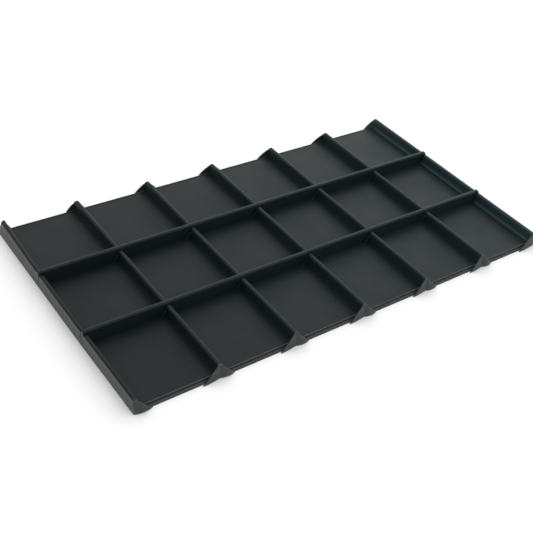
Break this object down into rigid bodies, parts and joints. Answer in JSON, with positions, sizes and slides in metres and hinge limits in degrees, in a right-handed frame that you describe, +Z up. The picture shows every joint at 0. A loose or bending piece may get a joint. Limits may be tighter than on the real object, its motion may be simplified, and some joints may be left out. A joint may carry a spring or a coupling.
{
  "type": "plug tray",
  "caption": "Shallow nursery tray with a grid of open square compartments, sloped front and back lips, triangular webs at the wall ends and two lift-out long dividers.",
  "frame": {"origin": "centre of the flat underside, on the bench", "axes": "+X along the length, towards the right side wall; +Y from the front lip to the back lip; +Z up"},
  "size_m": [0.54, 0.295, 0.0189],
  "materials": {
    "tray_floor": "moulded satin, dark grey-green",
    "side_wall": "moulded satin, dark grey",
    "divider": "moulded satin, dark grey-green",
    "partition": "moulded satin, dark grey-green"
  },
  "bodies": {
    "tray": {"base_tray": "tray_floor", "left_side_wall": "side_wall", "right_side_wall": "side_wall", "front_row_partition_1": "partition", "front_row_partition_2": "partition", "front_row_partition_3": "partition", "front_row_partition_4": "partition", "front_row_partition_5": "partition", "middle_row_partition_1": "partition", "middle_row_partition_2": "partition", "middle_row_partition_3": "partition", "middle_row_partition_4": "partition", "middle_row_partition_5": "partition", "back_row_partition_1": "partition", "back_row_partition_2": "partition", "back_row_partition_3": "partition", "back_row_partition_4": "partition", "back_row_partition_5": "partition"},
    "front_divider": {"front_long_divider": "divider"},
    "back_divider": {"back_long_divider": "divider"}
  },
  "joints": [
    {"name": "front_divider_lift", "type": "slide", "parent": "tray", "child": "front_divider", "axis": [0, 0, 1], "range_m": [0, 0.03]},
    {"name": "back_divider_lift", "type": "slide", "parent": "tray", "child": "back_divider", "axis": [0, 0, 1], "range_m": [0, 0.03]}
  ]
}
